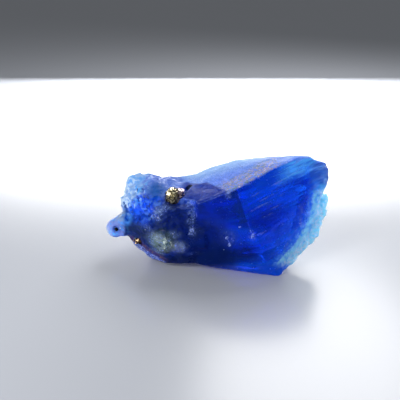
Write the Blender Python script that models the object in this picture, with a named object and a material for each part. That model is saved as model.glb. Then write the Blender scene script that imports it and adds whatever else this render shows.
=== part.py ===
"""Rough afghanite crystal with pyrite and calcite grown into it, lying on the flat spot of its underside.

Metres, +Z up. The stone's length runs along X and its show face looks along -Y.
The origin is the middle of the stone's box, at the surface that it lies on.
"""

import itertools
import math
import random

import bmesh
import bpy
from mathutils import Euler, Matrix, Vector, noise

MM = 0.001

# Driving dimensions of the stone
LENGTH = 28.4 * MM
DEPTH = 12.2 * MM
HEIGHT = 13.6 * MM

# Clearance round each mineral grain that sits in a pocket of the stone
GAP = 0.12 * MM

# The blocks are fused on the coarse grid, the relief is carved on its points, and the fine grid
# closes up the folds that the carving leaves
GRID = 0.2 * MM
FINE_GRID = 0.1 * MM
WORN_ROUNDS = 3
STONE_TRIANGLES = 7250

# Corner points of the blocks that the stone is made of: hundredths of its half length along X,
# hundredths of its half depth along Y, and hundredths of its height up from the surface.
BLOCKS = {
    # The deep blue prism: show face, top face, resting face and the broken right end
    "prism": [
        (-17, -28, 0), (3, -56, 0), (32, -72, 0), (52, -82, 0),
        (-19, -62, 7), (18, -86, 13), (44, -92, 15),
        (32, -90, 40),
        (-20, -60, 68), (10, -56, 80), (26, -38, 85), (51, -12, 96), (67, 12, 100),
        (-21, 58, 74), (-8, 66, 79), (14, 66, 86), (34, 58, 90), (56, 50, 93),
        (77, 16, 99), (88, 16, 93), (95, 16, 88), (96, 8, 81), (92, 0, 74),
        (84, -18, 52), (78, -28, 36), (66, -44, 24), (56, -66, 10),
        (-8, 20, 0), (28, 24, 0), (40, 0, 0), (-14, 48, 5), (30, 56, 6), (50, 20, 4),
        (-22, 96, 36), (14, 100, 44), (44, 84, 52), (70, 56, 58),
    ],
    # A growth plateau that stands a little proud of the left of the show face
    "plateau": [
        (-19, -62, 68), (9, -58, 79), (15, -62, 75), (25, -80, 53), (31, -90, 39), (-17, -62, 34),
        (-19, -40, 66), (9, -40, 76), (25, -60, 50), (0, -50, 20),
    ],
    # The thin bright blade along the lower right edge
    "blade": [
        (96, 10, 65), (98, 2, 53), (95, -10, 42), (89, -24, 32), (84, -36, 23), (73, -50, 15),
        (59, -70, 6), (52, -82, 0),
        (80, 18, 65), (76, 16, 45), (70, -4, 26), (60, -30, 12), (46, -50, 2),
    ],
    # What joins the prism to the broken left end, under the saddle of the top outline
    "saddle": [
        (-46, 44, 73), (-14, 56, 75), (-46, -24, 68), (-12, -56, 70),
        (-46, 84, 46), (-14, 92, 46), (-46, -64, 30), (-12, -74, 26), (-40, 60, 12), (-14, 60, 8),
    ],
    # The dark broken middle left of the prism, low at the front
    "shoulder": [
        (-8, -54, 6), (-30, -60, 7), (-47, -52, 5), (-60, -30, 4), (-74, -16, 12), (-78, -14, 20),
        (-85, -10, 27), (-6, -56, 64), (-44, -60, 62), (-66, -42, 48), (-80, -22, 40), (-47, -70, 28),
        (-28, -71, 26), (2, -68, 34), (-22, 70, 30), (-60, 60, 24), (-80, 30, 34), (-50, 40, 5),
        (-20, 50, 70), (-60, 50, 66), (-8, 90, 38), (-6, 72, 18), (-10, 52, 7), (-34, 80, 40),
    ],
    # The pale rounded lobe at the upper left
    "lobe": [
        (-90, 34, 51), (-86, 42, 63), (-80, 50, 74), (-72, 50, 78), (-66, 50, 77), (-50, 48, 74),
        (-30, 44, 71),
        (-84, 6, 46), (-80, -10, 58), (-62, -24, 68), (-40, -30, 70), (-28, -28, 70),
        (-84, 70, 50), (-60, 84, 52), (-40, 84, 50), (-70, 60, 26), (-60, -40, 48), (-84, 10, 36),
    ],
    # What carries the knob at the far left
    "neck": [
        (-94, -12, 24), (-94, 14, 24), (-96, -8, 34), (-96, 10, 34), (-92, -4, 40), (-92, 8, 40),
        (-87, -8, 43), (-86, 14, 43), (-82, -22, 25), (-82, 24, 25), (-82, -18, 44), (-82, 26, 46),
    ],
    # The foot that touches the surface under the left end
    "foot": [
        (-62, -8, 0), (-50, -12, 0), (-46, 16, 0), (-60, 18, 0),
        (-68, -20, 10), (-44, -36, 10), (-40, 24, 10), (-66, 28, 12),
    ],
}

# The round knob at the far left end
KNOB_CENTRE = (-92, 0, 30)
KNOB_RADIUS = 1.25 * MM

# The skin of grown-together grains of the broken left end: the size of a grain, how steeply its face
# may tilt, and how far it may stand out, as a share of its size
GRAINS = {"size": 1.5 * MM, "tilt": 0.20, "lift": 0.10}
SMALL_GRAINS = {"size": 0.7 * MM, "tilt": 0.22, "lift": 0.10}
EDGE_CHIPS = {"size": 1.0 * MM, "tilt": 0.25, "lift": 0.12}

# The smooth prism gives way to the grains between these two hundredths of the half length
GRAINS_START = -8
GRAINS_FULL = -62

# The grains are fainter on the shoulder than on the lobe, whose lower edge lies between these heights,
# and fainter still on the knob, which begins between these distances from the middle
SHOULDER_SHARE = 0.55
KNOB_SHARE = 0.2
LOBE_EDGE = (0.4 * HEIGHT, 0.6 * HEIGHT)
KNOB_EDGE = (0.41 * LENGTH, 0.45 * LENGTH)

# The ribs of the show face fan out a little, from a spot far down on the left
FAN_CENTRE = (-260, -60, -40)
FAN_START = 8
FAN_FULL = 30
FAN_RIBS = 100
FAN_RELIEF = 0.12 * MM
FAN_WANDER = 4 * MM

# Long ledges run along the back, a little downhill to the left, and fade into the grains
LEDGE_PITCH = 1.9 * MM
LEDGE_RELIEF = 0.45 * MM
LEDGE_RISER = 0.2
LEDGE_UP = Vector((-0.18, 0.1, 1))
LEDGE_WANDER = 9 * MM
LEDGES_UNDER_GRAINS = 0.4

# The blade lies right of this line across the show face, and its edge is chipped
BLADE_LINE = ((96, 0, 74), (56, 0, 8))

# A surface belongs to the show face or to the back where it faces that way this much
FACES_SHOW_SIDE = (0.35, 0.7)
FACES_BACK = (0.05, 0.45)

# No relief stands on a surface that faces down this much
FACES_DOWN = (0.6, 0.9)

# A faint waviness all over
WAVE_SIZE = 0.8 * MM
WAVE_RELIEF = 0.05 * MM

# This much of the underside is worn off flat
WORN_FLAT = 0.12 * MM

# Lumps of intergrown pyrite cubes in pockets of the show face. Each lump is placed by hundredths of
# the half length and of the height. Its middle lies "sunk" under the face. Lengths are in mm.
# The cube in its middle is larger than the rest, so that no hollow is closed in.
CORE_SHARE = 1.6
PYRITE_SEED = 5
PYRITE = {
    "pyrite_cluster": [
        {"along": -38, "up": 67, "sunk": 0.25, "half": (0.85, 0.7, 1.0), "cubes": 13, "side": (0.5, 0.95)},
        {"along": -33, "up": 69.5, "sunk": 0.25, "half": (0.6, 0.5, 0.5), "cubes": 6, "side": (0.4, 0.7)},
    ],
    "pyrite_edge_grain": [
        {"along": -70, "up": 21, "sunk": 0.1, "half": (0.5, 0.35, 0.4), "cubes": 7, "side": (0.3, 0.5)},
    ],
    "pyrite_speck": [
        {"along": -90, "up": 32, "sunk": 0.05, "half": (0.25, 0.2, 0.25), "cubes": 3, "side": (0.26, 0.34)},
    ],
}

# The crevice beside the pyrite cluster runs between these two places
CREVICE_ENDS = ((-24, -3, 73), (-31, -25, 65))
CREVICE_WIDTH = 0.85 * MM
CREVICE_DEPTH = 0.5 * MM
CREVICE_LUMPS = 0.3

# The grey-green calcite patch low on the left of the show face: its middle, how far it reaches each
# way and into the stone, and how much its outline wanders
CALCITE_ALONG = -49
CALCITE_UP = 30
CALCITE_HALF = (1.6 * MM, 0.9 * MM, 1.75 * MM)
CALCITE_LUMPS = 0.5

# Faces that meet at more than this angle keep a sharp edge between them
SHARP_EDGE = math.radians(22)

# Colour, roughness and metallic of each piece
FINISHES = {
    "afghanite_crystal": ((0.02, 0.07, 0.62, 1), 0.25, 0.0),
    "calcite_patch": ((0.42, 0.52, 0.50, 1), 0.6, 0.0),
    "pyrite_cluster": ((0.62, 0.47, 0.20, 1), 0.3, 1.0),
    "pyrite_edge_grain": ((0.40, 0.24, 0.13, 1), 0.45, 1.0),
    "pyrite_speck": ((0.30, 0.26, 0.20, 1), 0.3, 1.0),
}


def spot(along, across, up):
    """A place in the stone, from hundredths of its half length, half depth and height."""
    return Vector((along * LENGTH / 200, across * DEPTH / 200, up * HEIGHT / 100))


def ramp(value, start, end):
    """0 before start, 1 after end, smooth between."""
    share = min(max((value - start) / (end - start), 0), 1)
    return share * share * (3 - 2 * share)


def clear_scene():
    for old in list(bpy.data.objects):
        bpy.data.objects.remove(old)


def new_object(name, body):
    mesh = bpy.data.meshes.new(name)
    body.to_mesh(mesh)
    body.free()
    made = bpy.data.objects.new(name, mesh)
    bpy.context.scene.collection.objects.link(made)
    return made


def bake_modifiers(piece):
    """Replaces the piece's mesh with what its modifiers make of it."""
    graph = bpy.context.evaluated_depsgraph_get()
    finished = bpy.data.meshes.new_from_object(piece.evaluated_get(graph))
    piece.modifiers.clear()
    piece.data = finished


def add_hull(body, points):
    """Adds the convex block that these points span."""
    corners = [body.verts.new(point) for point in points]
    made = bmesh.ops.convex_hull(body, input=corners)
    inside = set(made["geom_interior"]) | set(made["geom_unused"])
    bmesh.ops.delete(body, geom=[v for v in inside if isinstance(v, bmesh.types.BMVert)])


def fuse(piece, pitch):
    """Makes one closed skin round everything in the piece."""
    skin = piece.modifiers.new("one skin", "REMESH")
    skin.mode = "VOXEL"
    skin.voxel_size = pitch
    bake_modifiers(piece)


def soften(piece, rounds):
    worn = piece.modifiers.new("worn edges", "SMOOTH")
    worn.factor = 0.5
    worn.iterations = rounds
    bake_modifiers(piece)


def thin_out(piece, triangles):
    """Spends the triangles where the shape needs them."""
    fewer = piece.modifiers.new("fewer faces", "DECIMATE")
    fewer.ratio = triangles / sum(len(face.vertices) - 2 for face in piece.data.polygons)
    fewer.use_collapse_triangulate = True
    bake_modifiers(piece)


def combine(piece, other, operation):
    """Joins other to the piece, or cuts it out of the piece, and removes it."""
    cut = piece.modifiers.new("cut", "BOOLEAN")
    cut.object = other
    cut.operation = operation
    cut.solver = "EXACT"
    bake_modifiers(piece)
    bpy.data.objects.remove(other)


def grain_relief(point, size, tilt, lift):
    """Height of a skin of grown-together grains, each with one flat face that tilts its own way."""
    centre = noise.voronoi(point / size)[1][0]
    lean = noise.cell_vector(centre * 7.3) * 2 - Vector((1, 1, 1))
    slope = tilt * lean.dot(point / size - centre)
    return size * (slope + lift * (noise.cell(centre * 5.1) - 0.5))


def fan_relief(point):
    """Height of the ribs that fan out over the right of the show face."""
    away = point - spot(*FAN_CENTRE)
    angle = math.atan2(away.z, away.x)
    rib = noise.noise(Vector((angle * FAN_RIBS, noise.noise(point / FAN_WANDER), 0)))
    return FAN_RELIEF * (1 - 2 * abs(rib))


def ledge_relief(point):
    """Height of long ledges: a steep riser, then a tread that falls back slowly."""
    ledge = point.dot(LEDGE_UP) / LEDGE_PITCH + noise.noise(point / LEDGE_WANDER)
    share = ledge - math.floor(ledge)
    strength = 0.5 + 0.5 * noise.cell(Vector((math.floor(ledge), 0, 0)))
    return LEDGE_RELIEF * strength * (ramp(share, 0, LEDGE_RISER) - share)


def past_blade_line(point):
    """How far the point lies on the blade's side of the line, 0 to 1 over one chip."""
    top, bottom = (spot(*end) for end in BLADE_LINE)
    along = (bottom - top).normalized()
    right = Vector((-along.z, 0, along.x))
    return ramp((point - top).dot(right), 0, EDGE_CHIPS["size"])


def grain_share(point):
    """How strongly the grains show here, 0 on the prism to 1 on the lobe."""
    broken = ramp(-point.x, -spot(GRAINS_START, 0, 0).x, -spot(GRAINS_FULL, 0, 0).x)
    on_lobe = ramp(point.z, *LOBE_EDGE)
    on_knob = ramp(-point.x, *KNOB_EDGE) * (1 - on_lobe)
    return broken * (SHOULDER_SHARE + (1 - SHOULDER_SHARE) * on_lobe) * (1 - (1 - KNOB_SHARE) * on_knob)


def relief(point, normal):
    """How far the surface stands out of the blocks here."""
    grainy = grain_share(point)
    fan = ramp(point.x, spot(FAN_START, 0, 0).x, spot(FAN_FULL, 0, 0).x)
    height = grainy * (grain_relief(point, **GRAINS) + grain_relief(point, **SMALL_GRAINS))
    height += ramp(-normal.y, *FACES_SHOW_SIDE) * fan * fan_relief(point)
    ledges = ramp(normal.y, *FACES_BACK) * (1 - (1 - LEDGES_UNDER_GRAINS) * grainy)
    height += ledges * ledge_relief(point)
    height += past_blade_line(point) * grain_relief(point, **EDGE_CHIPS)
    height += WAVE_RELIEF * noise.noise(point / WAVE_SIZE)
    return height * (1 - ramp(-normal.z, *FACES_DOWN))


def fit_to_size(piece, below):
    """Gives the piece its driving dimensions, in the middle of X and Y, and lets it reach below zero."""
    points = [vertex.co.copy() for vertex in piece.data.vertices]
    low = Vector([min(point[axis] for point in points) for axis in range(3)])
    high = Vector([max(point[axis] for point in points) for axis in range(3)])
    middle = Vector(((low.x + high.x) / 2, (low.y + high.y) / 2, low.z))
    size = high - low
    scale = Matrix.Diagonal((LENGTH / size.x, DEPTH / size.y, (HEIGHT + below) / size.z, 1))
    piece.data.transform(Matrix.Translation((0, 0, -below)) @ scale @ Matrix.Translation(-middle))


def wear_flat(piece):
    """Takes off what reaches below zero."""
    body = bmesh.new()
    low, high = spot(-200, -200, -100), spot(200, 200, 0)
    add_hull(body, [Vector(corner) for corner in itertools.product(*zip(low, high))])
    bmesh.ops.recalc_face_normals(body, faces=body.faces)
    combine(piece, new_object("surface", body), "DIFFERENCE")


def show_face_at(stone, along, up):
    """Where a line along +Y meets the show face."""
    start = spot(along, -200, up)
    found, place, _, _ = stone.ray_cast(start, Vector((0, 1, 0)))
    if not found:
        raise ValueError(f"the show face has nothing at {along}, {up}")
    return place


def rough_stone():
    body = bmesh.new()
    for corners in BLOCKS.values():
        add_hull(body, [spot(*corner) for corner in corners])
    knob = bmesh.ops.create_icosphere(body, subdivisions=3, radius=KNOB_RADIUS)
    bmesh.ops.translate(body, verts=knob["verts"], vec=spot(*KNOB_CENTRE))
    bmesh.ops.recalc_face_normals(body, faces=body.faces)
    made = new_object("afghanite_crystal", body)
    fuse(made, GRID)
    soften(made, WORN_ROUNDS)
    moves = [relief(v.co, v.normal) * v.normal for v in made.data.vertices]
    for vertex, move in zip(made.data.vertices, moves):
        vertex.co += move
    fuse(made, FINE_GRID)
    thin_out(made, STONE_TRIANGLES)
    fit_to_size(made, WORN_FLAT)
    wear_flat(made)
    return made


def lumpy_ball(name, centre, half, lumps, grown, turn=Matrix()):
    """A closed ball stretched to the half sizes, its radius wandering by the share lumps."""
    body = bmesh.new()
    bmesh.ops.create_icosphere(body, subdivisions=3, radius=1)
    for vertex in body.verts:
        way = vertex.co.normalized()
        wander = 1 + lumps * noise.noise(way * 1.7 + centre / MM)
        vertex.co = Vector([part * reach * wander for part, reach in zip(way, half)]) + way * grown
    bmesh.ops.transform(body, matrix=Matrix.Translation(centre) @ turn, verts=body.verts)
    return new_object(name, body)


def cube_places(stone, lump, chance):
    """Where each cube of a pyrite lump sits, and its side."""
    centre = show_face_at(stone, lump["along"], lump["up"]) + Vector((0, lump["sunk"] * MM, 0))
    for count in range(lump["cubes"]):
        side = chance.uniform(*lump["side"]) * MM
        way = Vector([chance.gauss(0, 1) for _ in range(3)]).normalized() * chance.random() ** 0.4
        if count == 0:
            side = CORE_SHARE * min(lump["half"]) * MM
            way = Vector()
        room = [max(half * MM - side * 0.6, 0) for half in lump["half"]]
        spin = Euler([chance.uniform(0, math.pi) for _ in range(3)]).to_matrix().to_4x4()
        yield Matrix.Translation(centre + Vector([r * w for r, w in zip(room, way)])) @ spin, side


def pyrite_lump(name, cubes):
    """One body of the cubes, grown into each other."""
    lump = None
    for place, side in cubes:
        body = bmesh.new()
        bmesh.ops.create_cube(body, size=side, matrix=place)
        cube = new_object(name if lump is None else "cube", body)
        if lump is None:
            lump = cube
        else:
            combine(lump, cube, "UNION")


def pocket_round(cubes):
    """The smooth hollow that clears these cubes by the gap."""
    body = bmesh.new()
    corners = []
    for place, side in cubes:
        reach = side / 2 + GAP
        corners += [place @ Vector(signs) for signs in itertools.product((-reach, reach), repeat=3)]
    add_hull(body, corners)
    bmesh.ops.recalc_face_normals(body, faces=body.faces)
    return new_object("pocket", body)


def seat_pyrite(stone):
    """Sets each pyrite lump in pockets of the show face."""
    chance = random.Random(PYRITE_SEED)
    for name, lumps in PYRITE.items():
        groups = [list(cube_places(stone, lump, chance)) for lump in lumps]
        for cubes in groups:
            combine(stone, pocket_round(cubes), "DIFFERENCE")
        pyrite_lump(name, itertools.chain(*groups))


def open_crevice(stone):
    upper, lower = (spot(*end) for end in CREVICE_ENDS)
    turn = (lower - upper).to_track_quat("Z", "Y").to_matrix().to_4x4()
    half = (CREVICE_WIDTH / 2, CREVICE_DEPTH, (lower - upper).length / 2)
    combine(stone, lumpy_ball("crevice", (upper + lower) / 2, half, CREVICE_LUMPS, 0, turn), "DIFFERENCE")


def seat_calcite(stone):
    """Fills a lumpy hollow of the show face with calcite, flush with the stone round it."""
    centre = show_face_at(stone, CALCITE_ALONG, CALCITE_UP)
    filling = bmesh.new()
    filling.from_mesh(stone.data)
    patch = new_object("calcite_patch", filling)
    combine(patch, lumpy_ball("core", centre, CALCITE_HALF, CALCITE_LUMPS, 0), "INTERSECT")
    combine(stone, lumpy_ball("hollow", centre, CALCITE_HALF, CALCITE_LUMPS, GAP), "DIFFERENCE")


def finish_surface(piece):
    colour, roughness, metallic = FINISHES[piece.name]
    made = bpy.data.materials.new(piece.name)
    made.use_nodes = True
    shader = made.node_tree.nodes["Principled BSDF"]
    shader.inputs["Base Color"].default_value = colour
    shader.inputs["Roughness"].default_value = roughness
    shader.inputs["Metallic"].default_value = metallic
    piece.data.materials.clear()
    piece.data.materials.append(made)
    piece.data.shade_smooth()
    piece.data.set_sharp_from_angle(angle=SHARP_EDGE)


clear_scene()
crystal = rough_stone()
open_crevice(crystal)
seat_calcite(crystal)
seat_pyrite(crystal)
for part_name in FINISHES:
    finish_surface(bpy.data.objects[part_name])
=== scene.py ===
import math
import random

import bpy
from mathutils import Matrix, Vector


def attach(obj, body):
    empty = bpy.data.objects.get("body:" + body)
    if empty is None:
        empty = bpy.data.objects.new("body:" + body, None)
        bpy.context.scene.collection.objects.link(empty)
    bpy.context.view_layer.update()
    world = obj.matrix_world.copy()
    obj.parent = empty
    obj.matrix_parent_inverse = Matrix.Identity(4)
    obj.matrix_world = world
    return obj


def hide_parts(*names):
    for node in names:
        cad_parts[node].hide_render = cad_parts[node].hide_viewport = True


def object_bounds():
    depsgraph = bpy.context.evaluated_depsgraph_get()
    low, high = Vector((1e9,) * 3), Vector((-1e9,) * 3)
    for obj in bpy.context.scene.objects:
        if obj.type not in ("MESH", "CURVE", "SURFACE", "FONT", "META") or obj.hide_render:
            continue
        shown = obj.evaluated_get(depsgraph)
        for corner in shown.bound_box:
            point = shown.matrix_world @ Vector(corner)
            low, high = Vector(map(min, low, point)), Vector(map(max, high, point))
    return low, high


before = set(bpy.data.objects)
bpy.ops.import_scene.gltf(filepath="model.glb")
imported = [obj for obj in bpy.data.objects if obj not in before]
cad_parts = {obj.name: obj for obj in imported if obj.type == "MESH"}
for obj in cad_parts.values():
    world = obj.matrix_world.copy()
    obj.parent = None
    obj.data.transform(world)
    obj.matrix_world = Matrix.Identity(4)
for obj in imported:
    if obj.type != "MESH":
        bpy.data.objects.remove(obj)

mm = 0.001
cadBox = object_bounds()
print("frame loaded:", ", ".join(sorted(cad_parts)))


# small helpers for modelling

def deselectAll():
    if bpy.context.object and bpy.context.object.mode != "OBJECT":
        bpy.ops.object.mode_set(mode="OBJECT")
    bpy.ops.object.select_all(action="DESELECT")


def pick(piece):
    deselectAll()
    piece.select_set(True)
    bpy.context.view_layer.objects.active = piece


def takeCopy(node, name):
    # a copy of a CAD node with its loose triangles merged, free to be reshaped
    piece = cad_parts[node].copy()
    piece.data = piece.data.copy()
    piece.name = name
    piece.parent = None
    for key in list(piece.keys()):
        del piece[key]
    bpy.context.scene.collection.objects.link(piece)
    pick(piece)
    bpy.ops.object.mode_set(mode="EDIT")
    bpy.ops.mesh.select_all(action="SELECT")
    bpy.ops.mesh.remove_doubles(threshold=0.001 * mm)
    bpy.ops.mesh.normals_make_consistent(inside=False)
    bpy.ops.object.mode_set(mode="OBJECT")
    return piece


def modify(piece, kind, name, **settings):
    # adds a modifier and applies it at once
    pick(piece)
    added = piece.modifiers.new(name, kind)
    for key, value in settings.items():
        setattr(added, key, value)
    bpy.ops.object.modifier_apply(modifier=added.name)


def rampUp(value, low, high):
    # 0 below low, 1 above high, smooth between
    share = min(max((value - low) / (high - low), 0), 1)
    return share * share * (3 - 2 * share)


def smoothByAngle(piece, degrees):
    pick(piece)
    bpy.ops.object.shade_smooth_by_angle(angle=math.radians(degrees))


def putOn(piece, look, slot, *nodes):
    piece.data.materials.clear()
    piece.data.materials.append(look)
    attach(piece, "root")
    if nodes:
        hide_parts(*nodes)


# small helpers for materials

def rgb(red, green, blue):
    # a colour as a picture editor shows it, 0 to 255, turned into Blender's own
    parts = [part / 255 for part in (red, green, blue)]
    return tuple(p / 12.92 if p <= 0.04045 else ((p + 0.055) / 1.055) ** 2.4 for p in parts) + (1,)


class Wire:
    # one socket of a material: plain sums on it add the Math nodes

    def __init__(self, look, socket):
        self.look = look
        self.socket = socket

    def sum(self, operation, *others):
        return self.look.node("ShaderNodeMath", {"operation": operation}, dict(enumerate(others)))

    def __add__(self, other):
        return self.sum("ADD", self, other)

    def __sub__(self, other):
        return self.sum("SUBTRACT", self, other)

    def __rsub__(self, other):
        return self.sum("SUBTRACT", other, self)

    def __mul__(self, other):
        return self.sum("MULTIPLY", self, other)

    def __truediv__(self, other):
        return self.sum("DIVIDE", self, other)

    def __pow__(self, other):
        return self.sum("POWER", self, other)

    def __neg__(self):
        return self.sum("SUBTRACT", 0, self)

    def most(self, other):
        return self.sum("MAXIMUM", self, other)

    def step(self, low, high):
        # 0 below low, 1 above high, smooth between; it falls where low is the greater
        return self.look.node(
            "ShaderNodeMapRange", {"interpolation_type": "SMOOTHSTEP"}, {0: self, 1: low, 2: high}
        )

    __radd__ = __add__
    __rmul__ = __mul__


class Look:
    # a material being made: node() adds any node, the others are short ways to common ones

    def __init__(self, name):
        self.material = bpy.data.materials.new(name)
        self.material.use_nodes = True
        self.tree = self.material.node_tree
        self.tree.nodes.clear()
        # Object coordinates in millimetres
        self.place = self.scaled(self.node("ShaderNodeTexCoord", out=3), 1 / mm)
        self.x, self.y, self.z = [
            self.node("ShaderNodeSeparateXYZ", sockets={0: self.place}, out=n) for n in range(3)
        ]

    def node(self, kind, settings={}, sockets={}, out=0):
        made = self.tree.nodes.new(kind)
        for name, value in settings.items():
            setattr(made, name, value)
        for key, value in sockets.items():
            if isinstance(value, Wire):
                self.tree.links.new(value.socket, made.inputs[key])
            else:
                made.inputs[key].default_value = value
        return Wire(self, made.outputs[out])

    def vector(self, operation, first, second, out=0):
        settings = {"operation": operation}
        return self.node("ShaderNodeVectorMath", settings, {0: first, 1: second}, out)

    def scaled(self, vector, factor):
        return self.node("ShaderNodeVectorMath", {"operation": "SCALE"}, {0: vector, 3: factor})

    def noise(self, size, detail=2.0, roughness=0.5, vector=None, warp=0.0, out=0):
        return self.node("ShaderNodeTexNoise", sockets={
            "Vector": vector or self.place, "Scale": 1 / size, "Detail": detail,
            "Roughness": roughness, "Distortion": warp,
        }, out=out)

    def grains(self, size, vector=None, out=0):
        # cells: how far each place is from its cell's middle, or with out=1 one tone for each cell
        sockets = {"Vector": vector or self.place, "Scale": 1 / size}
        return self.node("ShaderNodeTexVoronoi", sockets=sockets, out=out)

    def mix(self, share, first, second):
        sockets = {0: share, 6: first, 7: second}
        return self.node("ShaderNodeMix", {"data_type": "RGBA"}, sockets, 2)

    def along(self, tilt, size):
        # places turned to climb to the right by tilt degrees, and drawn out by size (mm) each way
        return self.node("ShaderNodeMapping", {"vector_type": "TEXTURE"}, {
            0: self.place, "Rotation": (0, -math.radians(tilt), 0), "Scale": size,
        })

    def bent(self, size, reach):
        # places shifted here and there by up to half of reach, for outlines that wander
        shift = self.vector("SUBTRACT", self.noise(size, out=1), (0.5, 0.5, 0.5))
        return self.vector("ADD", self.place, self.scaled(shift, reach))

    def lay(self, mask, colour, share):
        # puts a colour, and its share of cloudy stone, over the layers so far
        self.paint = self.mix(mask, self.paint, colour)
        sockets = {0: mask, 2: self.cloud, 3: share}
        self.cloud = self.node("ShaderNodeMix", {"data_type": "FLOAT"}, sockets)

    def spot(self, middle, reach, soft, vector=None):
        # 1 in the middle of an ellipsoid, 0 outside it
        away = self.vector("SUBTRACT", vector or self.place, middle)
        away = self.vector("DIVIDE", away, reach)
        far = self.vector("LENGTH", away, (0, 0, 0), 1)
        return far.step(1, 1 - soft)

    def line(self, start, end, width):
        # 1 on a straight line between two places, 0 a width away from it
        along = Vector(end) - Vector(start)
        away = self.vector("SUBTRACT", self.place, start)
        share = self.vector("DOT_PRODUCT", away, along, 1)
        share = self.node("ShaderNodeClamp", sockets={0: share / along.length_squared, 1: 0.0, 2: 1.0})
        far = self.vector("DISTANCE", away, self.scaled(along, share), 1)
        return far.step(width, 0)

    def bump(self, height, distance, strength):
        return self.node("ShaderNodeBump", sockets={
            "Height": height, "Distance": distance * mm, "Strength": strength,
        })

    def output(self, surface, volume=None):
        end = self.tree.nodes.new("ShaderNodeOutputMaterial")
        self.tree.links.new(surface.socket, end.inputs["Surface"])
        if volume:
            self.tree.links.new(volume.socket, end.inputs["Volume"])
        return self.material


# the stone's shape

stoneShape = {
    "skin": 0.119 * mm,          # spacing of the mesh points
    "worn": 1,                   # rounds of smoothing over the CAD facets
    "plugSize": (1.12, 1.0, 1.12, 1),  # how much the filling under the calcite outgrows it
    "streakSize": (14, 3, 0.34), # striations of the show face: long, deep, high, in mm
    "streakTilt": 13,            # degrees that they climb to the right
    "streakHeight": 0.03 * mm,
    "grainSize": 0.9 * mm,       # sugary grains of the broken left end
    "grainHeight": 0.16 * mm,
    "fineGrainSize": 0.35 * mm,
    "fineGrainHeight": 0.09 * mm,
    "frostSize": 0.22 * mm,      # pitting of the frosted top face
    "frostHeight": 0.05 * mm,
    "chipSize": 0.8 * mm,        # shelly chips of the thin right edge
    "chipHeight": 0.16 * mm,
    "waveSize": 1.6 * mm,        # slight waviness all over
    "waveHeight": 0.06 * mm,
    "smoothAngle": 60,           # degrees up to which an edge is shaded round
}


# where each relief is, by a vertex's place (mm) and normal

def grainZone(place, normal):
    left = rampUp(-place.x, 2.0, 7.0)
    rough = 0.45 + 0.55 * rampUp(place.z, 4.8, 8.0)
    return left * rough * (1 - 0.3 * rampUp(-place.x, 11.7, 12.6))


def frostZone(place, normal):
    return rampUp(normal.z, 0.55, 0.85) * rampUp(place.x, -3.5, -1.0)


def streakZone(place, normal):
    front = rampUp(-normal.y, 0.25, 0.6)
    return front * rampUp(place.x, 0.5, 4.0) * rampUp(-place.x, -11.0, -8.0)


def chipZone(place, normal):
    return rampUp(place.x - 0.62 * place.z, 5.4, 7.0)


zones = {"grains": grainZone, "frost": frostZone, "streaks": streakZone, "chips": chipZone}
leastWeight = 0.01


def addZones(piece):
    for name, share in zones.items():
        group = piece.vertex_groups.new(name=name)
        for vertex in piece.data.vertices:
            weight = share(vertex.co / mm, vertex.normal)
            if weight > leastWeight:
                group.add([vertex.index], weight, "REPLACE")


def press(piece, name, kind, size, height, zone="", along=None, **settings):
    # moves the skin in and out by a texture, within one zone
    pattern = bpy.data.textures.new(name, kind)
    pattern.noise_scale = size
    for key, value in settings.items():
        setattr(pattern, key, value)
    displace = {"texture": pattern, "strength": height, "mid_level": 0.5, "vertex_group": zone}
    if along:
        displace.update(texture_coords="OBJECT", texture_coords_object=along)
    modify(piece, "DISPLACE", name, **displace)


def streakGuide():
    # an empty, long along the striations, so that a cloud texture on it is drawn out to streaks
    deselectAll()
    bpy.ops.object.empty_add(location=(0, 0, 0))
    guide = bpy.context.object
    guide.rotation_euler = (0, -math.radians(stoneShape["streakTilt"]), 0)
    guide.scale = [side * mm for side in stoneShape["streakSize"]]
    bpy.context.view_layer.update()
    return guide


def keepInBox(piece):
    # nothing reaches below the flat spot or out of the CAD box
    low, high = cadBox
    for vertex in piece.data.vertices:
        for axis in range(3):
            vertex.co[axis] = min(max(vertex.co[axis], low[axis]), high[axis])


def makeStone():
    shape = stoneShape
    stone = takeCopy("afghanite_crystal", "stone")
    plug = takeCopy("calcite_patch", "plug")  # fills the hollow under the calcite crust
    middle = sum((Vector(corner) for corner in plug.bound_box), Vector()) / 8
    grow = Matrix.Diagonal(shape["plugSize"])
    plug.data.transform(Matrix.Translation(middle) @ grow @ Matrix.Translation(-middle))
    pick(stone)
    plug.select_set(True)
    bpy.ops.object.join()
    modify(stone, "REMESH", "one skin", mode="VOXEL", voxel_size=shape["skin"])
    modify(stone, "SMOOTH", "worn", factor=0.5, iterations=shape["worn"])
    addZones(stone)
    guide = streakGuide()
    press(stone, "streaks", "CLOUDS", 1.0, shape["streakHeight"], "streaks", guide, noise_depth=3)
    bpy.data.objects.remove(guide)
    press(stone, "grains", "VORONOI", shape["grainSize"], shape["grainHeight"], "grains")
    press(stone, "fine grains", "VORONOI", shape["fineGrainSize"], shape["fineGrainHeight"], "grains")
    press(stone, "frost", "CLOUDS", shape["frostSize"], shape["frostHeight"], "frost", noise_depth=1)
    press(stone, "chips", "VORONOI", shape["chipSize"], shape["chipHeight"], "chips")
    press(stone, "waves", "CLOUDS", shape["waveSize"], shape["waveHeight"], noise_depth=2)
    keepInBox(stone)
    smoothByAngle(stone, shape["smoothAngle"])
    print("stone skin:", len(stone.data.polygons), "faces")
    return stone


# the stone's material: clear crystal, over which each layer lays a colour and a share of cloudy stone

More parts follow.
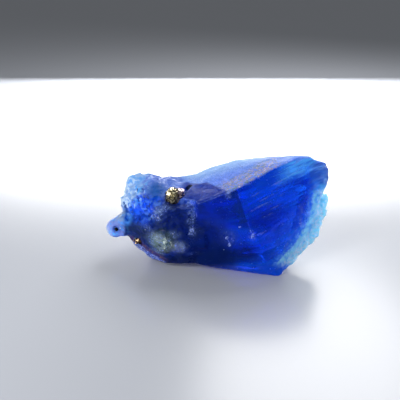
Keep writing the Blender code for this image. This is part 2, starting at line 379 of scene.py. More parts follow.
stoneGlass = {
    "ior": 1.53,
    "specular": 0.2,
    "gloss": rgb(140, 180, 255),
    "depth": rgb(0, 204, 248),       # what a little of the crystal leaves of white light
    "density": 1000,                 # per metre
    "cloud": 0.3,                    # share of cloudy stone under all layers
    "cloudRoughness": 0.45,
    "glow": 0.4,                     # part of the cloudy stone that lets light through
    "crestGlow": 0.25,               # less of it on the crest
    "bladeGlow": 0.12,               # and more of it in the blade
    "roughness": 0.14,
    "reliefDepth": 0.08,             # mm
    "reliefStrength": 0.6,
}

stoneColours = {
    "clear": rgb(236, 246, 255),     # the first three tint the clear crystal
    "streak": rgb(150, 196, 255),
    # painted shade: tints the clear crystal dark over the lower left
    "shadeTint": rgb(14, 32, 66),
    "royal": rgb(0, 72, 236),
    "cobalt": rgb(6, 98, 255),
    "navy": rgb(2, 26, 84),
    "indigo": rgb(10, 40, 128),
    "strip": rgb(14, 52, 104),       # greenish strip beside the window
    "azure": rgb(0, 112, 255),
    "stroke": rgb(80, 165, 255),
    "end": rgb(10, 84, 190),
    "sky": rgb(70, 176, 255),
    "cyan": rgb(160, 240, 255),
    "ice": rgb(240, 250, 255),
    "paleIce": rgb(222, 245, 255),
    "mist": rgb(164, 202, 242),
    "frost": rgb(96, 144, 250),
    "backEdgeGlow": rgb(160, 205, 248),
    "violet": rgb(84, 88, 170),
    "sand": rgb(176, 158, 172),
    "moss": rgb(112, 140, 140),
    "granule": rgb(6, 88, 250),
    "granuleLight": rgb(96, 160, 255),
    "teal": rgb(16, 100, 160),
    "saddle": rgb(96, 134, 222),
    "saddleLight": rgb(140, 168, 240),
    "paintedShade": rgb(26, 42, 72),         # painted shade of the dark lower left
    "knob": rgb(148, 178, 228),
    "lavender": rgb(142, 158, 226),
    "plum": rgb(72, 44, 92),
    "bruise": rgb(40, 40, 130),
    "gold": rgb(150, 120, 84),
    "haze": rgb(160, 180, 184),
    "veil": rgb(94, 124, 172),
    "black": rgb(10, 14, 36),
    "glint": rgb(170, 195, 245),
}

# sizes of the patterns in mm, and how strongly the finer noise shows in them
patterns = {
    "mottle": (2.2, 4, 0.6),
    "wisp": (0.9, 4, 0.65),
    "fine": (0.3, 3, 0.65),
    "streak": (1, 3, 0.6),           # drawn out by the two sizes below
    "threads": (1.3, 2, 0.5),
    "fibres": (0.6, 2, 0.5),
    "sparkle": (0.15, 2, 0.7),
    "pitting": (0.17, 3, 0.7),
    "flakes": (0.12, 2, 0.6),
    "broadStreaks": (13, (12, 4, 0.55)),  # degrees of climb, then length, depth and height
    "fineStreaks": (10, (4, 3, 0.16)),
    "sugar": 0.36,
    "chunks": 0.9,
    "glints": 0.62,
    "dust": 0.42,
}

# In the layers below, a spot is its middle, its reach (mm) and the softness of its outline.
# A pair is where a layer begins and where it is full, in mm or in the tone of a pattern.


def thread(look, pattern, warp, thin):
    # the lines where a warped noise passes its middle
    level = look.noise(*patterns[pattern], warp=warp) - 0.5
    return (level * level).step(*thin)


def addPatterns(look):
    # what several layers share
    broad, narrow = patterns["broadStreaks"], patterns["fineStreaks"]
    chunkPlaces = look.bent(0.4, 1.2)
    look.mottle = look.noise(*patterns["mottle"])
    look.wisp = look.noise(*patterns["wisp"], warp=0.6)
    look.fine = look.noise(*patterns["fine"])
    look.rag = look.mottle - 0.5 + (look.fine - 0.5) * 0.5  # ragged edges, about -0.4 to 0.4
    look.streaks = look.noise(*patterns["streak"], look.along(*broad))
    look.fineStreaks = look.noise(*patterns["streak"], look.along(*narrow))
    look.sugar = look.grains(patterns["sugar"])
    look.sugarTone = look.grains(patterns["sugar"], out=1)
    look.chunkTone = look.grains(patterns["chunks"], chunkPlaces, 1)
    threads = thread(look, "threads", 1.5, (0.0006, 0.0001)) * look.fine.step(0.45, 0.6)
    look.fibres = thread(look, "fibres", 2.0, (0.0009, 0.0001)) * look.fine.step(0.42, 0.58)
    look.threads = threads
    look.sparkle = look.noise(*patterns["sparkle"]).step(0.57, 0.68)
    look.glints = look.grains(patterns["glints"]).step(0.24, 0.1)
    look.glints = look.glints * look.grains(patterns["glints"], out=1).step(0.66, 0.7)


prism = {
    "climb": 0.36,                   # rise of the front ridge for each mm to the right
    "dim": ((6.5, -4.5, 7.4), (4.6, 5, 2.4), 0.9),
    "brightUp": (7.2, 9.6),
    "brightRight": (2.5, 5.5),
    "corner": (1.0, 3.4),            # brighter towards the lower right: painted glow of light through the thin lower edge
    "strokes": (0.54, 0.68),
    "strokesUp": (7.0, 9.0),
    "strokesRight": (5.0, 9.0),
    "faintStrokes": (0.56, 0.7),
    "faintRight": (3.5, 6.5),
    "endRight": (11.2, 11.7),
    "endUp": (9.0, 9.8),
    "crestUp": (7.8, 8.8),
    "crestRight": (6.5, 9.5),
    "crestStrokes": (0.3, 0.5),
    "tip": ((10.6, -0.8, 12.4), (2.0, 2.4, 0.9), 0.8),
    "tipStrokes": (0.3, 0.6),
    # the dark lower left, the low part and its right end are painted shade
    "dark": ((-4.0, -4.8, 4.2), (10.0, 6.4, 7.6), 0.6),
    "paintedShade": (0.4, 0.6),
    "low": ((-1.0, -5.0, 2.7), (7.0, 3.5, 2.9), 0.7),
    "lowRight": ((3.8, -5.6, 3.7), (3.6, 2.4, 2.4), 0.9),
    "footUp": (2.2, 1.2),
    "footRight": (1.6, 4.0),
}

# the window: a dark plate inside the prism, with straight edges
window = {
    "left": (-2.7, -2.4),
    "lean": 0.358,                   # lean of the right edge
    "right": (6.2, 6.1),
    "climb": 0.4,                    # rise of the upper edge
    "top": (10.35, 10.2),
    "bottom": (6.2, 7.8),
    "strip": (4.9, 5.5),
}


def layPrism(look):
    col, at = stoneColours, prism
    x, z, rag, wisp = look.x, look.z, look.rag, look.wisp
    streaks, strokes = look.streaks, look.fineStreaks
    high = z - x * at["climb"]
    look.lay(look.spot(*at["dim"]) * (0.35 + streaks), col["navy"], 0.35)
    # the brighter cobalt upper right is painted glow of the light from behind
    bright = (high + rag * 2 + streaks * 2).step(*at["brightUp"]) * x.step(*at["brightRight"])
    look.lay(bright, col["cobalt"], 0.5)
    look.lay((x * 0.68 - z * 0.73 + rag * 2 + streaks).step(*at["corner"]), col["azure"], 0.45)
    stroked = (high + rag * 2).step(*at["strokesUp"]) * x.step(*at["strokesRight"])
    look.lay(strokes.step(*at["strokes"]) * stroked, col["stroke"], 0.6)
    stroked = x.step(*at["faintRight"]) * 0.35
    look.lay(strokes.step(*at["faintStrokes"]) * stroked, col["stroke"], 0.5)
    look.lay((x + rag * 0.6).step(*at["endRight"]) * z.step(*at["endUp"]), col["end"], 0.5)
    # painted glow: the paler strokes along the crest and at the tip
    look.crest = (high + rag + (streaks - 0.5) * 3).step(*at["crestUp"])
    look.crest = look.crest * (x + rag).step(*at["crestRight"])
    blend = look.mix(look.fine, col["stroke"], col["sky"])
    look.lay(look.crest * strokes.step(*at["crestStrokes"]), blend, 0.88)
    look.lay(look.spot(*at["tip"]) * strokes.step(*at["tipStrokes"]), col["stroke"], 0.75)
    # painted shade: the lower left and the bottom are laid dark navy and grey, as they lie in shade
    look.dark = look.spot(*at["dark"])
    look.lay(look.dark, look.mix(look.mottle.step(*at["paintedShade"]), col["navy"], col["paintedShade"]), 0.78)
    look.lay(look.spot(*at["low"]), col["navy"], 0.95)
    look.lay(look.spot(*at["lowRight"]) * (0.5 + wisp), col["navy"], 0.7)
    # azure along the bottom edge: painted glow of light coming in through the thin bottom bevel
    look.lay((z + rag * 1.4).step(*at["footUp"]) * x.step(*at["footRight"]), col["azure"], 0.5)

    at = window
    side = x + z * at["lean"]
    plate = (x + rag * 0.2).step(*at["left"]) * side.step(*at["right"])
    plate = plate * (z - x * at["climb"]).step(*at["top"]) * (z + rag * 2).step(*at["bottom"])
    look.lay(plate * (0.6 + wisp * 0.7), col["indigo"], 0.75)
    look.lay(plate * side.step(*at["strip"]), col["strip"], 0.7)


topFacet = {
    "up": (0.55, 0.82),              # how far a face looks up
    "left": (-4.8, -3.8),
    # painted glow: paler towards the thin back edge, where light shines through
    "pale": (-1.0, 3.6),             # paler towards the back,
    "paleRight": (5.0, 9.5),         # but less so at the right
    "violet": (0.52, 0.66),
    "violetBack": (3.4, 0.6),
    "icePits": (0.44, 0.3),
    "sandBack": (2.6, 0.9),
    "sandRight": (9.5, 6.0),
    "sandGrains": (0.92, 1.04),
    "sandTone": (0.4, 0.6),
    "sandIce": (0.87, 0.93),
    "scratch": ((3.2, 1.0, 11.9), (2.6, 3.0, 11.9), 0.14),
    "darkRight": (-0.75, -1.15),
    "darkBack": (-0.1, -0.5),
    "haze": (0.7, 0.95),
}


def layTopFacet(look, upward):
    # frosted, sandy near the front ridge, paler at the back as painted glow of light through the thin
    # back edge; its dark left part is clear
    col, at = stoneColours, topFacet
    x, y, rag, wisp, fine = look.x, look.y, look.rag, look.wisp, look.fine
    facet = upward.step(*at["up"]) * (x + rag * 1.5).step(*at["left"])
    pale = (y + rag).step(*at["pale"]) * (1 - x.step(*at["paleRight"]) * 0.6)
    look.lay(facet, look.mix(pale, col["frost"], col["backEdgeGlow"]), 0.85)
    pitting = look.noise(*patterns["pitting"])
    violet = pitting.step(*at["violet"]) * y.step(*at["violetBack"]) * 0.8
    look.lay(facet * violet, col["violet"], 0.85)
    look.lay(facet * pitting.step(*at["icePits"]) * 0.6, col["ice"], 0.9)
    sandy = (y - x * 0.42 + 3.2 + rag * 2.4).step(*at["sandBack"]) * x.step(*at["sandRight"])
    sandy = facet * sandy
    blend = look.mix(wisp.step(*at["sandTone"]), col["moss"], col["sand"])
    look.lay(sandy * (pitting + fine).step(*at["sandGrains"]), blend, 0.9)
    look.lay(sandy * (fine + wisp * 0.5).step(*at["sandIce"]) * 0.75, col["ice"], 0.9)
    look.lay(look.line(*at["scratch"]) * facet * 0.8, col["violet"], 0.8)
    dark = (x * 0.854 + y * 0.519 + rag * 1.2).step(*at["darkRight"])
    dark = facet * dark * (x * 0.284 + y * 0.959 + rag).step(*at["darkBack"])
    look.lay(dark, col["indigo"], 0.6)
    look.lay(dark * (wisp + fine * 0.5).step(*at["haze"]) * 0.35, col["saddle"], 0.7)
    look.lay(dark * look.threads.most(look.fibres * 0.35), col["saddle"], 0.7)
    return facet


blade = {
    "middle": (4.8, 8.8),            # x and z of the place that the blade curves round
    "azure": (6.1, 6.8),             # distance from there
    "sky": (6.8, 7.3),
    "ice": (8.1, 8.8),
    "glow": (6.8, 7.6),
    "top": (10.0, 9.2),
    "right": (4.0, 6.0),
    "corner": (4.8, 6.2),
}


def layBlade(look):
    # from its chewed inner edge the thin blade goes from azure to sky blue to ice at its outer edge:
    # painted glow of light shining through the thin edge
    col, at = stoneColours, blade
    x, z, rag, wisp, fine = look.x, look.z, look.rag, look.wisp, look.fine
    middleX, middleZ = at["middle"]
    acrossX = x - middleX
    acrossZ = z - middleZ
    far = (acrossX * acrossX + acrossZ * acrossZ) ** 0.5 + rag * 0.9
    low = (z + rag).step(*at["top"]) * x.step(*at["right"])
    low = low * (z + x * 0.5 + rag).step(*at["corner"])
    blend = look.mix(fine.step(0.45, 0.6), col["azure"], col["stroke"])
    look.lay(far.step(*at["azure"]) * low, blend, 0.7)
    blend = look.mix(wisp.step(0.3, 0.55), col["sky"], col["cyan"])
    look.lay(far.step(*at["sky"]) * low, blend, 0.85)
    blend = look.mix(fine.step(0.4, 0.65), col["cyan"], col["ice"])
    look.lay((far + wisp).step(*at["ice"]) * low, blend, 0.88)
    look.glow = look.glow + far.step(*at["glow"]) * low * stoneGlass["bladeGlow"]


leftEnd = {
    "dark": (3.0, 5.4),              # mm left of the middle
    "granules": ((-9.2, -1.2, 8.0), (3.4, 4.0, 3.0), 0.5),
    "sparkling": ((-9.8, -1.2, 7.4), (3.0, 4.0, 2.8), 0.6),
    # painted shade: the dark band low between knob and calcite
    "paintedShade": ((-9.3, -2.2, 4.8), (2.8, 2.8, 1.4), 0.8),
    "lowGranules": ((-9.6, -1.6, 6.4), (2.4, 2.6, 1.2), 0.7),
    "neck": ((-11.3, -0.9, 5.6), (1.1, 1.6, 1.0), 0.8),
    "saddleUp": (0.35, 0.7),
    "saddleLeft": (2.2, 3.0),
    "saddleHigh": (8.6, 9.6),
    "teal": ((-7.5, -0.6, 9.3), (1.7, 2.2, 1.5), 0.7),
    "lobe": ((-11.3, 1.5, 9.0), (4.5, 5.2, 4.6), 1.0),
    "rim": ((-12.4, 2.2, 9.2), (4.4, 5.6, 5.0), 1.0),
    "crown": (0.45, 0.85),           # the part of the lobe and rim that looks up, painted darker: painted shade
}

knob = {
    "left": (11.5, 12.1),
    "top": (6.9, 6.2),
    "lower": (5.8, 4.4),
    "haze": ((-12.6, -0.6, 6.0), (1.3, 2.4, 1.0), 0.9),
    "tip": (12.6, 14.0),
}


def layLeftEnd(look, upward):
    col, at = stoneColours, leftEnd
    x, z, rag, wisp, fine, tone = look.x, look.z, look.rag, look.wisp, look.fine, look.sugarTone
    grainy = look.mix(tone.step(0.2, 0.4), col["navy"], col["granule"])
    grainy = look.mix(tone.step(0.6, 0.7) * fine.step(0.35, 0.5), grainy, col["granuleLight"])
    # painted shade: the left end is laid dark navy and grey, and the low band between knob and calcite
    # darker still
    blend = look.mix(wisp.step(0.4, 0.6), col["navy"], col["paintedShade"])
    look.lay((rag * 1.6 - x).step(*at["dark"]), blend, 0.8)
    look.lay(look.spot(*at["granules"]), grainy, 0.6)
    look.lay(look.spot(*at["sparkling"]) * look.sparkle, col["granuleLight"], 0.8)
    look.lay(look.spot(*at["paintedShade"]) * (look.mottle + 0.5), col["paintedShade"], 0.9)
    blend = look.mix(tone, col["navy"], col["granule"])
    look.lay(look.spot(*at["lowGranules"]) * 0.8, blend, 0.6)
    look.lay(look.spot(*at["neck"]) * (fine + 0.35), col["stroke"], 0.7)
    saddle = upward.step(*at["saddleUp"]) * (rag - x).step(*at["saddleLeft"])
    saddle = saddle * z.step(*at["saddleHigh"])
    blend = look.mix((wisp + fine * 0.6).step(0.7, 0.95), col["saddle"], col["saddleLight"])
    look.lay(saddle, blend, 0.85)
    look.lay(saddle * look.sparkle * 0.8, col["knob"], 0.9)
    look.lay(look.spot(*at["teal"]) * (fine + 0.3), col["teal"], 0.7)

    # the pale lobe, and the still paler rim at its back: painted glow of light through the thin stone
    crumbly = (tone - 0.5) * 0.7 + rag * 0.4
    soft = look.chunkTone * 0.4 + wisp * 0.8
    reach = look.spot(*at["lobe"])
    lobe = (reach + crumbly).step(0.15, 0.6) * reach.step(0.05, 0.3)
    blend = look.mix(soft.step(0.4, 0.75), col["sky"], col["mist"])
    look.lay(lobe, look.mix(tone.step(0.75, 0.9) * 0.6, blend, col["paleIce"]), 0.88)
    reach = look.spot(*at["rim"])
    rim = (reach + crumbly).step(0.2, 0.5) * reach.step(0.05, 0.3)
    look.lay(rim, look.mix(soft.step(0.3, 0.7), col["mist"], col["paleIce"]), 0.9)
    blend = look.mix(soft.step(0.3, 0.7), col["sky"], col["mist"])
    # painted shade: the upward-facing lobe and rim are laid darker blue
    look.lay((lobe + rim) * upward.step(*at["crown"]) * 0.8, blend, 0.85)

    at = knob
    ball = (rag * 0.4 - x).step(*at["left"]) * z.step(*at["top"])
    look.lay(ball, look.mix((z + rag * 2).step(*at["lower"]), col["knob"], col["lavender"]), 0.85)
    look.lay(ball * look.spot(*at["haze"]) * 0.8, col["haze"], 0.85)
    look.lay(ball * tone.step(0.6, 0.8) * 0.7, col["sky"], 0.7)
    # painted rim light: the knob's left tip is laid ice white
    look.lay(ball * (rag * 1.5 + fine - x - z * 0.3).step(*at["tip"]), col["ice"], 0.8)
    look.lay(ball * look.glints, col["ice"], 0.8)


# the lower left rim: a plum-brown ledge line with gold flecks, and a lavender band below it
lowerRim = {
    "slope": 0.42,                   # fall of the ledge line
    "left": (-11.9, -11.2),
    "right": (-5.6, -7.4),
    "band": (-1.75, -2.0),
    "ledgeBelow": (-2.0, -1.75),
    "ledgeAbove": (-0.9, -1.45),
}


def layLowerRim(look, back):
    col, at = stoneColours, lowerRim
    x, z, wisp, fine = look.x, look.z, look.wisp, look.fine
    drop = z + x * at["slope"] + look.rag * 0.5
    reach = x.step(*at["left"]) * x.step(*at["right"]) * (1 - back)
    band = drop.step(*at["band"]) * reach
    look.lay(band, look.mix(fine.step(0.4, 0.6), col["bruise"], col["lavender"]), 0.8)
    look.lay(band * look.sparkle, col["ice"], 0.85)
    ledge = drop.step(*at["ledgeBelow"]) * drop.step(*at["ledgeAbove"]) * reach
    look.lay(ledge * (wisp + fine * 0.6).step(0.5, 0.75) * 0.9, col["plum"], 0.85)
    look.lay(ledge * fine.step(0.54, 0.62), col["gold"], 0.9)


# hazy clouds under the skin: middle, reach (mm), strength
greyClouds = [
    ((-6.8, -3.6, 3.9), (2.7, 2.2, 2.0), 0.95),     # round the calcite
    ((-4.9, -4.4, 3.6), (1.7, 1.6, 1.3), 0.7),
    ((-5.4, -4.4, 5.2), (1.6, 1.4, 0.9), 0.35),
    ((-7.3, -3.4, 2.4), (1.6, 1.6, 0.7), 0.6),
]
blueClouds = [
    ((-7.3, -3.2, 7.9), (1.4, 1.7, 1.9), 0.95),     # wisps right of the granules
    ((-6.4, -3.3, 8.4), (1.6, 1.4, 0.8), 0.7),      # below the pyrite
    ((-3.2, -4.1, 7.3), (0.75, 1.4, 1.9), 0.8),     # sugary column
    ((-3.5, -3.6, 8.9), (0.9, 1.3, 0.7), 0.6),
    ((-3.0, -4.3, 5.6), (0.8, 1.4, 0.9), 0.45),
    ((-8.6, -2.6, 5.6), (1.5, 1.6, 1.0), 0.5),
    ((1.4, -5.0, 5.2), (1.5, 1.5, 1.6), 0.28),      # faint patches low in the middle
    ((4.1, -5.6, 5.8), (0.8, 1.3, 0.9), 0.5),
    ((1.2, -3.8, 10.3), (0.6, 1.1, 0.8), 0.7),      # bruise at the corner of the window
    ((-2.9, -4.0, 2.6), (1.4, 1.5, 0.5), 0.35),
]
cloudSoft = 0.8

# bright chips: place and reach (mm)
chips = [
    ((1.19, -3.87, 10.55), 0.3), ((4.21, -5.69, 5.84), 0.3), ((4.7, -5.7, 5.4), 0.2),
    ((4.0, -5.6, 6.3), 0.2), ((1.14, -5.08, 5.13), 0.26), ((1.5, -5.23, 4.27), 0.32),
    ((2.6, -5.4, 6.8), 0.2), ((-3.07, -4.35, 5.81), 0.34), ((-3.4, -4.4, 5.4), 0.24),
    ((-3.4, -4.2, 8.0), 0.26), ((7.9, -4.2, 6.5), 0.16),
]
chipSoft = 0.5

# thin lines on the show face: start, end, width (mm), strength
lines = [
    ((-2.58, -3.61, 9.22), (1.37, -3.4, 10.72), 0.12, 0.75),  # upper and left edge of the window
    ((-2.58, -3.61, 9.22), (-2.5, -4.29, 7.2), 0.12, 0.45),
    ((2.41, -3.95, 10.4), (4.11, -5.74, 5.9), 0.09, 0.45),    # its right edge
    ((1.14, -5.08, 5.13), (1.6, -5.3, 4.2), 0.09, 0.6),
    ((-2.1, -3.2, 9.6), (-1.7, -3.4, 9.2), 0.08, 0.5),
    ((-1.5, -2.9, 9.8), (-1.2, -3.3, 9.5), 0.08, 0.5),
]
# painted shade: a black line where the crevice beside the pyrite lies in shade
creviceShade = ((-3.4, -0.1, 9.8), (-4.6, -1.7, 8.85), 0.5)


def largest(wires):
    most = wires[0]
    for wire in wires[1:]:
        most = most.most(wire)
    return most


def layMarks(look):
    col = stoneColours
    wisp, sparkle = look.wisp, look.sparkle
    grey, blue = [
        largest([look.spot(middle, reach, cloudSoft) * strength for middle, reach, strength in clouds])
        for clouds in (greyClouds, blueClouds)
    ]
    blend = look.mix(look.mottle.step(0.4, 0.6), col["moss"], col["haze"])
    look.lay(grey * wisp.step(0.25, 0.5), blend, 0.9)
    look.lay(blue * wisp.step(0.4, 0.64), col["veil"], 0.85)
    threads = look.threads.most(look.fibres)
    look.lay((grey + blue).step(0.1, 0.5) * threads, col["saddleLight"], 0.85)
    specks = (sparkle * wisp.step(0.52, 0.66)).most(look.glints) * 0.7
    look.lay((grey + blue).step(0.15, 0.5) * specks, col["ice"], 0.85)
    bent = look.bent(0.3, 0.7)
    bright = largest([look.spot(middle, (reach,) * 3, chipSoft, bent) for middle, reach in chips])
    flakes = look.noise(*patterns["flakes"]).step(0.4, 0.55)
    look.lay(bright * flakes, col["glint"], 0.9)
    thin = largest([look.line(*ends) * strength for *ends, strength in lines])
    look.lay(thin * (0.4 + wisp), col["saddleLight"], 0.8)
    # painted shade of the crevice
    look.lay(look.line(*creviceShade).step(0.05, 0.4), col["black"], 0.95)


backSide = {
    "turned": (0.0, 0.45),           # how far a face looks backwards
    "thick": (8.5, 6.5),             # the thin blade stays clear behind
    "blues": (0.3, 0.7),
    "frosted": (1.0, 1.6),
    "share": 0.4,
}


def layBack(look, back):
    col, at = stoneColours, backSide
    streaks, fine = look.streaks, look.fine
    thick = back * (look.x - look.z * 0.4).step(*at["thick"])
    look.lay(thick, look.mix(streaks.step(*at["blues"]), col["navy"], col["royal"]), at["share"])
    frosted = (streaks + look.mottle * 1.5 + (fine - 0.5) * 0.5).step(*at["frosted"])
    blend = look.mix(fine.step(*at["blues"]), col["saddle"], col["frost"])
    look.lay(thick * frosted, blend, at["share"])


def layDust(look, share):
    size = patterns["dust"]
    dust = look.grains(size).step(0.2, 0.08) * look.grains(size, out=1).step(0.8, 0.86)
    look.lay(dust * look.mottle.step(0.4, 0.6) * share * 0.7, stoneColours["glint"], 0.8)


def shineThrough(look, normal):
    # light through cloudy stone in the paint's colour: white, cyan, blue and black light,
    # mixed by how much red, green and blue the paint has
    red, green, blue = [
        look.node("ShaderNodeSeparateColor", sockets={0: look.paint}, out=n) for n in range(3)
    ]
    white, cyan, pureBlue, black = [
        look.node("ShaderNodeBsdfTranslucent", sockets={"Color": colour, "Normal": normal})
        for colour in ((1, 1, 1, 1), (0, 1, 1, 1), (0, 0, 1, 1), (0, 0, 0, 1))
    ]
    glow = look.node("ShaderNodeMixShader", sockets={0: red / green, 1: cyan, 2: white})
    glow = look.node("ShaderNodeMixShader", sockets={0: green / blue, 1: pureBlue, 2: glow})
    return look.node("ShaderNodeMixShader", sockets={0: blue, 1: black, 2: glow})


def stoneLook():
    look = Look("afghanite")
    col, glass = stoneColours, stoneGlass
    facing = look.node("ShaderNodeNewGeometry", out=1)
    turned = 1 - 2 * look.node("ShaderNodeNewGeometry", out=6)  # -1 seen from inside, as the normal is
    outY, outZ = [
        look.node("ShaderNodeSeparateXYZ", sockets={0: facing}, out=n) * turned for n in (1, 2)
    ]
    back = outY.step(*backSide["turned"])
    addPatterns(look)
    streaky = look.streaks.step(0.35, 0.65)
    look.paint = look.mix(streaky, col["royal"], col["azure"])
    look.cloud = glass["cloud"]
    layPrism(look)
    look.glow = glass["glow"] - look.crest * glass["crestGlow"]
    layLeftEnd(look, outZ)
    layLowerRim(look, back)
    facet = layTopFacet(look, outZ)
    layBlade(look)
    layBack(look, back)
    layMarks(look)
    layDust(look, (1 - back) * (1 - facet))

    left = (-look.x).step(2.0, 6.0)
    right = look.x.step(10.5, 12.5)
    tint = look.mix(streaky, col["streak"], col["clear"])
    # the clear crystal is tinted darker over the dark lower left too: painted shade
    tint = look.mix(look.dark * 0.9, tint, col["shadeTint"])
    relief = (look.streaks * 0.5 + look.fineStreaks * 0.3) * (1 - left)
    relief = relief + look.fine * (left * 0.6 + 0.2) - look.sugar * left * 1.2
    relief = relief * (1 - look.x.step(9.5, 12.0) * 0.75)
    normal = look.bump(relief, glass["reliefDepth"], glass["reliefStrength"])
    rough = glass["roughness"] + 0.2 * look.fine + left * 0.15 + facet * 0.25 + right * 0.2
    skin = {
        "IOR": glass["ior"], "Specular IOR Level": glass["specular"],
        "Specular Tint": glass["gloss"], "Normal": normal,
    }
    clear = look.node("ShaderNodeBsdfPrincipled", sockets={
        "Base Color": tint, "Roughness": rough, "Transmission Weight": 1.0, **skin,
    })
    solid = look.node("ShaderNodeBsdfPrincipled", sockets={
        "Base Color": look.paint, "Roughness": glass["cloudRoughness"], **skin,
    })
    cloudy = look.node("ShaderNodeMixShader", sockets={
        0: look.glow, 1: solid, 2: shineThrough(look, normal),
    })
    surface = look.node("ShaderNodeMixShader", sockets={0: look.cloud, 1: clear, 2: cloudy})
    inside = look.node("ShaderNodeVolumeAbsorption", sockets={
        "Color": glass["depth"], "Density": glass["density"],
    })
    print("stone look:", len(look.tree.nodes), "nodes")
    return look.output(surface, inside)


# the pyrite lumps

pyriteShape = {
    # CAD node: seed, how many small cubes, their sides and the bevel, in mm
    "pyrite_cluster": (3, 56, (0.26, 0.54), 0.015),
    "pyrite_edge_grain": (8, 16, (0.16, 0.34), 0.015),
    "pyrite_speck": (2, 0, (0.1, 0.2), 0.05),
}
pyriteSmoothAngle = 25

pyriteColours = {
    # brassy, pale, tarnished
    "pyrite": (rgb(164, 156, 122), rgb(222, 214, 186), rgb(54, 44, 36)),
    "tarnished pyrite": (rgb(150, 112, 78), rgb(220, 190, 150), rgb(50, 32, 28)),
    "dark pyrite": (rgb(40, 34, 34), rgb(64, 54, 50), rgb(16, 13, 14)),
}
copper = {"colour": rgb(168, 150, 158), "right": (-5.0, -4.7)}


def pyriteLook(name, coppery=False):
    # brass with dark tarnish in its hollows; a coppery lump turns to copper at its right end
    look = Look(name)
    brassy, pale, dark = pyriteColours[name]
    tarnish = look.noise(0.3, 4, 0.6)
    fine = look.noise(0.1, 3, 0.6)
    paint = look.mix(look.grains(0.4, out=1), brassy, pale)
    if coppery:
        paint = look.mix(look.x.step(*copper["right"]), paint, copper["colour"])
    paint = look.mix(tarnish.step(0.47, 0.6) * 0.88, paint, dark)
    shine = look.node("ShaderNodeBsdfPrincipled", sockets={
        "Base Color": paint, "Metallic": 1.0, "Roughness": 0.14 + 0.3 * tarnish,
        "Normal": look.bump(fine, 0.03, 0.5),
    })
    return look.output(shine)


def makePyrite(node, name):
    # the CAD lump, crusted with small cubes
    seed, count, sides, bevel = pyriteShape[node]
    chance = random.Random(seed)
    piece = takeCopy(node, name)
    faces = list(piece.data.polygons)
    areas = [face.area for face in faces]
    places = [tuple(face.center) for face in chance.choices(faces, areas, k=count)]
    cubes = []
    for place in places:
        turn = [chance.uniform(0, math.pi) for _ in range(3)]
        side = chance.uniform(*sides) * mm
        bpy.ops.mesh.primitive_cube_add(size=side, location=place, rotation=turn)
        cubes.append(bpy.context.object)
    pick(piece)
    for cube in cubes:
        cube.select_set(True)
    if cubes:
        bpy.ops.object.join()
    modify(piece, "BEVEL", "worn edges", width=bevel * mm, segments=1, limit_method="ANGLE")
    smoothByAngle(piece, pyriteSmoothAngle)
    print(name, len(piece.data.polygons), "faces")
    return piece


# the calcite crust

calcite = {
    "dull": rgb(96, 118, 124),
    "pale": rgb(160, 178, 174),
    "thread": rgb(215, 228, 232),
    "edge": rgb(10, 30, 78),         # blue of the stone, which the patch fades into
    "middle": ((-6.7, -4.0, 4.0), (1.7, 9.0, 1.8), 0.8),
    "roughness": 0.45,
    "smoothAngle": 40,
}


def calciteLook():
    look = Look("calcite")
    cloud = look.noise(0.9, 5, 0.65)
    fine = look.noise(0.2, 3, 0.6)
    level = look.noise(0.7, 2, 0.5, warp=2.0) - 0.5
    threads = (level * level).step(0.0014, 0.0002) * fine.step(0.38, 0.58)
    paint = look.mix(cloud.step(0.42, 0.6), calcite["dull"], calcite["pale"])
    paint = look.mix(threads, paint, calcite["thread"])
    middle = look.spot(*calcite["middle"], look.bent(0.8, 1.6))
    paint = look.mix(middle, calcite["edge"], paint)
    stone = look.node("ShaderNodeBsdfPrincipled", sockets={
        "Base Color": paint, "Roughness": calcite["roughness"], "Normal": look.bump(fine, 0.1, 0.6),
    })
    return look.output(stone)


# floor, lights and camera

stage = {
    "floor": rgb(160, 163, 170),
    "floorSize": 4.0,            # metres
    "floorDrop": 0.02 * mm,
    "floorRoughness": 0.25,
    "world": (0.9, 0.94, 1.0, 1),
    "worldStrength": 0.18,
    "aim": (0, 0, 6),            # mm, where the lamps point
}

lamps = [
    # name, place, width and height in mm, power in milliwatts
    ("back", (35, 75, 95), 80, 80, 150),
    ("low back", (0, 100, 20), 170, 34, 150),
    ("key", (-70, -60, 85), 50, 50, 60),
    ("front", (-95, -60, 40), 90, 70, 110),
    ("right", (100, 0, 14), 60, 50, 90),
]


def makeFloor():
    deselectAll()
    bpy.ops.mesh.primitive_plane_add(size=stage["floorSize"], location=(0, 0, -stage["floorDrop"]))
    floor = bpy.context.object
    floor.name = "floor"
    look = Look("floor")
    surface = look.node("ShaderNodeBsdfPrincipled", sockets={
        "Base Color": stage["floor"], "Roughness": stage["floorRoughness"],
    })
    floor.data.materials.append(look.output(surface))


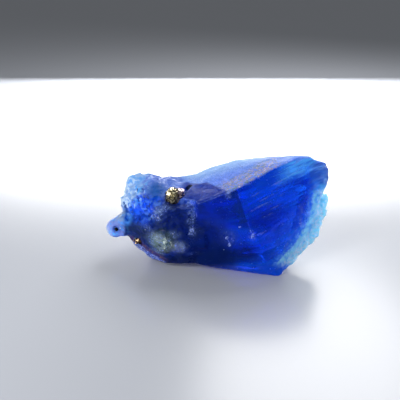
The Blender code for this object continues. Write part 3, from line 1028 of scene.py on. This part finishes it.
def makeLights():
    for name, place, width, height, power in lamps:
        lamp = bpy.data.lights.new(name, "AREA")
        lamp.shape = "ELLIPSE"
        lamp.size = width * mm
        lamp.size_y = height * mm
        lamp.energy = power / 1000
        holder = bpy.data.objects.new(name, lamp)
        bpy.context.scene.collection.objects.link(holder)
        holder.location = Vector(place) * mm
        view = Vector(stage["aim"]) * mm - holder.location
        holder.rotation_euler = view.to_track_quat("-Z", "Y").to_euler()
        holder.visible_camera = False
    world = bpy.data.worlds.new("studio")
    world.use_nodes = True
    background = world.node_tree.nodes["Background"]
    background.inputs["Color"].default_value = stage["world"]
    background.inputs["Strength"].default_value = stage["worldStrength"]
    bpy.context.scene.world = world
    bpy.context.scene.view_settings.view_transform = "Standard"
    print("lights:", len(lamps))


cameraView = {
    "target": (-2.1, 0, 7.8),    # mm
    "distance": 72,              # mm
    "elevation": 25,             # degrees above the table
    "sensor": 36,                # mm
    "lens": 51.02,               # mm
    "near": 1,                   # mm
}


def makeCamera():
    view = cameraView
    tilt = math.radians(view["elevation"])
    away = Vector((0, -math.cos(tilt), math.sin(tilt)))
    camera = bpy.data.objects.new("camera", bpy.data.cameras.new("camera"))
    bpy.context.scene.collection.objects.link(camera)
    camera.location = (Vector(view["target"]) + away * view["distance"]) * mm
    camera.rotation_euler = (math.radians(90) - tilt, 0, 0)
    camera.data.sensor_width = view["sensor"]
    camera.data.lens = view["lens"]
    camera.data.clip_start = view["near"] * mm
    bpy.context.scene.camera = camera


makeFloor()
makeLights()
makeCamera()
stone = makeStone()
putOn(stone, stoneLook(), "afghanite", "afghanite_crystal")
gold = pyriteLook("pyrite", coppery=True)
rusty = pyriteLook("tarnished pyrite")
sooty = pyriteLook("dark pyrite")
putOn(makePyrite("pyrite_cluster", "pyriteCluster"), gold, "pyrite", "pyrite_cluster")
putOn(makePyrite("pyrite_edge_grain", "pyriteEdgeGrain"), rusty, "tarnished_pyrite", "pyrite_edge_grain")
putOn(makePyrite("pyrite_speck", "pyriteSpeck"), sooty, "tarnished_pyrite", "pyrite_speck")
crust = takeCopy("calcite_patch", "calciteCrust")
smoothByAngle(crust, calcite["smoothAngle"])
putOn(crust, calciteLook(), "calcite", "calcite_patch")
print("calcite", len(crust.data.polygons), "faces")
